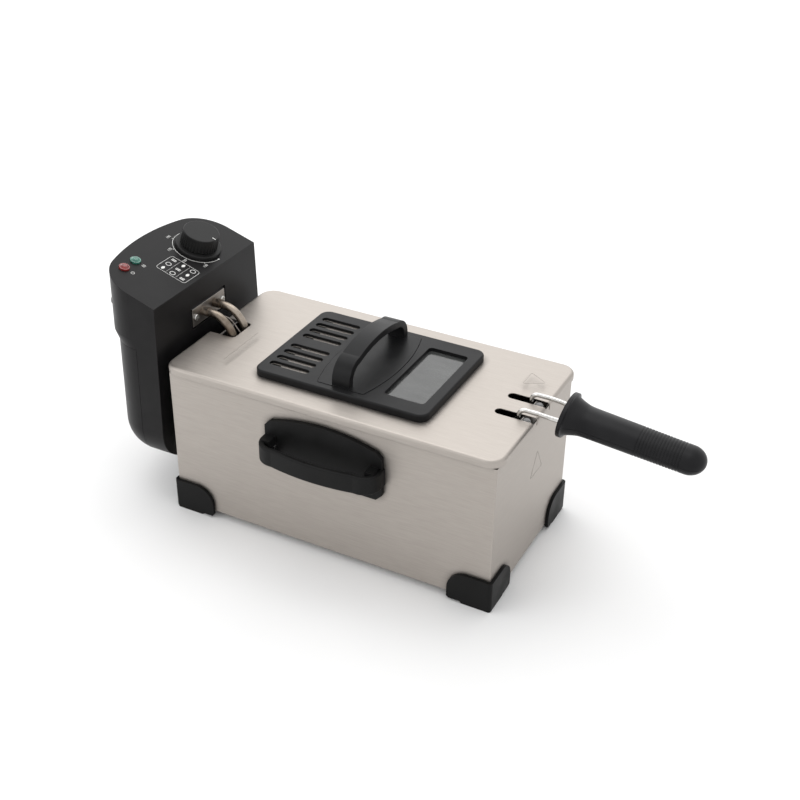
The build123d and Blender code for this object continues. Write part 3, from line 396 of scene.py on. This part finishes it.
def draw_icon(bm, place, x, y, kind):
    """One small shape: a ring, a leaf or a pair of bars."""
    size = 2.6 * MM
    if kind == 0:
        stroke(bm, arc(x, y, size, 0, 345, 15), 0.6 * MM, place, INK_LOW, INK_HIGH, closed=True)
    elif kind == 1:
        leaf = arc(x - size * 0.6, y, size * 1.2, -60, 60, 8) + arc(x + size * 0.6, y, size * 1.2, 120, 240, 8)
        prism(bm, leaf, place, INK_LOW, INK_HIGH)
    else:
        for shift in (-0.9, 0.9):
            prism(bm, rounded(x - size, x + size, y + shift * MM - 0.5 * MM, y + shift * MM + 0.5 * MM,
                              0.4 * MM), place, INK_LOW, INK_HIGH)


def draw_power_mark(bm, place):
    """A broken ring with a bar."""
    stroke(bm, arc(0, 0, 1.7 * MM, 35, 325, 16), 0.4 * MM, place, INK_LOW, INK_HIGH)
    stroke(bm, ((0.4 * MM, 0), (2.2 * MM, 0)), 0.4 * MM, place, INK_LOW, INK_HIGH)


def draw_heat_mark(bm, place):
    """Three short waves, for heat."""
    for shift in (-1.4, 0, 1.4):
        wave = [((-1.8 + 0.3 * i) * MM, (shift + 0.35 * math.sin(i * math.pi / 3)) * MM) for i in range(13)]
        stroke(bm, wave, 0.35 * MM, place, INK_LOW, INK_HIGH)


def dial_number(text, turn):
    """A temperature, set just outside the dial's arc."""
    curve = bpy.data.curves.new("number", "FONT")
    curve.body = text
    curve.size = 4.0 * MM
    curve.align_x, curve.align_y = "CENTER", "CENTER"
    curve.extrude = 0.03 * MM
    source = bpy.data.objects.new("number", curve)
    bpy.context.scene.collection.objects.link(source)
    mesh = bpy.data.meshes.new_from_object(source)
    bpy.data.objects.remove(source)
    x, y = arc(0, 0, 30.5 * MM, turn, turn, 1)[0]
    bm = bmesh.new()
    bm.from_mesh(mesh)
    upright = panel_place(KNOB_FROM_EDGE, KNOB_CENTRE.y) @ Matrix.Translation((x, y, 0.02 * MM))
    bm.transform(upright @ Matrix.Rotation(-math.pi / 2, 4, "Z"))
    finish_piece(bm, f"dial_number_{text}", INK, "control_unit")


def print_panel():
    knob_y = KNOB_CENTRE.y
    panel_piece("dial_scale", draw_dial_scale, KNOB_FROM_EDGE, knob_y)
    panel_piece("pictograms", draw_pictograms, 5.5 * MM, -2.5 * MM)
    panel_piece("power_mark", draw_power_mark, 47 * MM, -54.5 * MM)
    panel_piece("heat_mark", draw_heat_mark, 47 * MM, -37.4 * MM)
    sweep = JOINTS["knob_turn"]["range_deg"][1]
    for step, text in enumerate(("130", "150", "170", "190"), start=1):
        dial_number(text, 180 - sweep * step / 5)


def pointer_inlay():
    """The white line let into the top of the dial, on the side of the off mark."""
    place = panel_place(KNOB_FROM_EDGE, KNOB_CENTRE.y)
    corners = [place.inverted() @ vertex.co for vertex in NODES["dial_knob"].data.vertices]
    top = max(corner.z for corner in corners)
    bm = bmesh.new()
    prism(bm, rounded(-17.2 * MM, -12.8 * MM, -0.4 * MM, 0.4 * MM, 0.3 * MM), place,
          top - 0.40 * MM, top - 0.05 * MM)
    finish_piece(bm, "pointer_inlay", INK, "knob")


# ---- embossing --------------------------------------------------------------------------------------
def lid_crease():
    """The faint pressed line across the lid, behind the panel."""
    lid_low, lid_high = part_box("lid_shell")
    x = lid_low.x + 48.5 * MM
    bm = bmesh.new()
    place = Matrix.Translation((x, 0, lid_high.z))
    stroke(bm, ((0, -61 * MM), (0, -2 * MM)), 0.7 * MM, place, -0.1 * MM, 0.07 * MM)
    finish_piece(bm, "lid_crease", MATERIALS["brushed_stainless"], "lid")


def triangle(size):
    """A triangle with blunt corners."""
    points = []
    for corner in range(3):
        turn = 120 * corner
        cx, cy = arc(0, 0, size, turn, turn, 1)[0]
        points += arc(cx, cy, size * 0.12, turn - 60, turn + 60, 4)
    return points


def embossed_marks():
    """A plain raised triangle on the lid and one on the end wall."""
    steel = MATERIALS["brushed_stainless"]
    lid_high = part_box("lid_shell")[1]
    shell_low, shell_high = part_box("housing_shell")
    lid_place = Matrix.Translation((lid_high.x - 26 * MM, 43 * MM, lid_high.z))
    end_turn = Matrix.Rotation(math.pi / 2, 4, "Y") @ Matrix.Rotation(math.pi, 4, "Z")
    end_centre = (shell_high.x, 8 * MM, (shell_low.z + shell_high.z) / 2 + 20 * MM)
    end_place = Matrix.Translation(end_centre) @ end_turn
    for name, place, body, size in (("lid_triangle", lid_place, "lid", 10 * MM),
                                    ("end_triangle", end_place, "housing", 13 * MM)):
        bm = bmesh.new()
        stroke(bm, triangle(size), 0.7 * MM, place, -0.1 * MM, 0.10 * MM, closed=True)
        finish_piece(bm, name, steel, body)


# ---- woven basket -----------------------------------------------------------------------------------
PITCH, MESH_R, WAVE = 6.6 * MM, 0.45 * MM, 0.42 * MM
CORNER_R, BOTTOM_R, SINK = 16 * MM, 11 * MM, 1.0 * MM


class Tub:
    """The tapered tub that the mesh follows, read from the CAD solid that it replaces."""

    def __init__(self):
        low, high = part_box("basket_mesh")
        self.centre_x = (low.x + high.x) / 2
        self.half_x = (high.x - low.x) / 2 - SINK
        self.half_y = (high.y - low.y) / 2 - SINK
        self.low, self.high = low.z + SINK, high.z - SINK
        self.taper = 6 * MM

    def shrink(self, z):
        return self.taper * (self.high - z) / (self.high - self.low)

    def reach(self, offset, half_along, half_across):
        """Half the width of the tub at an offset along it, less in the rounded corners."""
        inside = abs(offset) - (half_along - CORNER_R)
        if inside <= 0:
            return half_across
        return half_across - CORNER_R + math.sqrt(max(0.0, CORNER_R ** 2 - inside ** 2))


def u_profile(half, shrink, low, high):
    """A U in a plane: down one wall, round the bottom edge, across and up the other."""
    foot = half - shrink
    left = [(-half, high), (-foot - shrink * BOTTOM_R / (high - low), low + BOTTOM_R)]
    bend = [(-foot + BOTTOM_R - BOTTOM_R * math.cos(a), low + BOTTOM_R - BOTTOM_R * math.sin(a))
            for a in (math.radians(15 * k) for k in range(1, 7))]
    right = [(-x, z) for x, z in reversed(left + bend)]
    return left + bend + right


def resample(points, step):
    """The same path with points an even step apart."""
    lengths = [0.0]
    for a, b in zip(points, points[1:]):
        lengths.append(lengths[-1] + (b - a).length)
    count = max(2, round(lengths[-1] / step))
    result, k = [], 0
    for i in range(count + 1):
        target = lengths[-1] * i / count
        while k < len(points) - 2 and lengths[k + 1] < target:
            k += 1
        share = (target - lengths[k]) / max(1e-9, lengths[k + 1] - lengths[k])
        result.append(points[k].lerp(points[k + 1], share))
    return result


def woven(points, centre, phase, closed=False):
    """Pushes every second crossing in and out, as a weave does."""
    path = resample(points, PITCH / 2)
    if closed:
        path = path[:-1]
    result = []
    for i, point in enumerate(path):
        outward = point - centre
        outward = Vector((outward.x * 0.6, outward.y, outward.z * 1.2)).normalized()
        result.append(point + outward * WAVE * math.sin(math.pi * (i + phase) / 2))
    return result


def basket_wires():
    """The mesh of the basket: wires across, wires along and rings round the walls."""
    tub = Tub()
    bm = bmesh.new()
    middle = Vector((tub.centre_x, 0, (tub.low + tub.high) / 2 + 20 * MM))
    across = int((tub.half_x - 4 * MM) / PITCH)
    for k in range(-across, across + 1):
        x = k * PITCH
        half = tub.reach(x, tub.half_x, tub.half_y)
        path = [Vector((tub.centre_x + x, y, z)) for y, z in u_profile(half, tub.taper, tub.low, tub.high)]
        tube(bm, woven(path, Vector((tub.centre_x + x, 0, middle.z)), k % 2 * 2), MESH_R)
    along = int((tub.half_y - 4 * MM) / PITCH)
    for k in range(-along, along + 1):
        y = k * PITCH
        half = tub.reach(y, tub.half_y, tub.half_x)
        path = [Vector((tub.centre_x + x, y, z)) for x, z in u_profile(half, tub.taper, tub.low, tub.high)]
        tube(bm, woven(path, Vector((tub.centre_x, y, middle.z)), 1 + k % 2 * 2), MESH_R)
    levels = int((tub.high - tub.low - BOTTOM_R) / PITCH)
    for k in range(levels + 1):
        z = tub.high - k * PITCH
        hx, hy = tub.half_x - tub.shrink(z), tub.half_y - tub.shrink(z)
        ring = [Vector((tub.centre_x + x, y, z)) for x, y in rounded(-hx, hx, -hy, hy, CORNER_R, 6)]
        ring.append(ring[0].copy())
        tube(bm, woven(ring, Vector((tub.centre_x, 0, z)), k % 2 * 2, closed=True), MESH_R, closed=True)
    piece = finish_piece(bm, "basket_wires", MATERIALS["basket_wire"], "basket")
    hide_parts("basket_mesh")


# ---- studio -----------------------------------------------------------------------------------------
def floor():
    """A plain pale floor."""
    bm = bmesh.new()
    reach = 12.0
    corners = [bm.verts.new((x * reach, y * reach, 0)) for x, y in ((-1, -1), (1, -1), (1, 1), (-1, 1))]
    bm.faces.new(corners)
    mesh = bpy.data.meshes.new("floor")
    bm.to_mesh(mesh)
    bm.free()
    material, tree, shader = new_material("floor_paint")
    tone = noise(tree, 3)
    tree.links.new(ramp(tree, tone, (0.86, 0.86, 0.86), (0.90, 0.90, 0.90)), shader.inputs["Base Color"])
    tree.links.new(spread(tree, tone, 0.75, 0.85), shader.inputs["Roughness"])
    mesh.materials.append(material)
    sheet = bpy.data.objects.new("floor", mesh)
    bpy.context.scene.collection.objects.link(sheet)


def area_light(name, place, aim, size, power):
    data = bpy.data.lights.new(name, "AREA")
    data.shape = "RECTANGLE"
    data.size, data.size_y = size
    data.energy = power
    lamp = bpy.data.objects.new(name, data)
    lamp.location = place
    lamp.rotation_euler = (Vector(aim) - Vector(place)).to_track_quat("-Z", "Y").to_euler()
    bpy.context.scene.collection.objects.link(lamp)


def studio():
    world = bpy.data.worlds.new("studio")
    world.use_nodes = True
    background = world.node_tree.nodes["Background"]
    background.inputs["Color"].default_value = (1.0, 1.0, 1.0, 1)
    background.inputs["Strength"].default_value = 1.0
    bpy.context.scene.world = world
    bpy.context.scene.view_settings.view_transform = "Standard"
    middle = (-0.05, 0, 0.1)
    area_light("overhead", (-0.3, 0.3, 1.6), middle, (1.4, 1.0), 7)
    area_light("behind", (-1.2, 1.5, 1.15), middle, (3.2, 1.8), 16)
    area_light("front_left", (-1.1, -1.3, 1.0), middle, (0.9, 0.9), 3)


def camera():
    """The main view: 27 degrees round, 32 degrees down, with a slight roll."""
    azimuth, elevation, roll = math.radians(26.97), math.radians(31.84), math.radians(0.83)
    distance = 1.4281
    target = Vector((-0.0942, 0.1816, 0.008))
    back = Vector((math.sin(azimuth) * math.cos(elevation), -math.cos(azimuth) * math.cos(elevation),
                   math.sin(elevation)))
    data = bpy.data.cameras.new("camera")
    data.sensor_width = 36.0
    data.lens = 57.16
    data.clip_start, data.clip_end = 0.05, 50
    item = bpy.data.objects.new("camera", data)
    turn = (-back).to_track_quat("-Z", "Y").to_matrix().to_4x4()
    item.matrix_world = Matrix.Translation(target + back * distance) @ turn @ Matrix.Rotation(roll, 4, "Z")
    bpy.context.scene.collection.objects.link(item)
    bpy.context.scene.camera = item


dress_cad_nodes()
print_panel()
pointer_inlay()
lid_crease()
embossed_marks()
basket_wires()
floor()
studio()
camera()
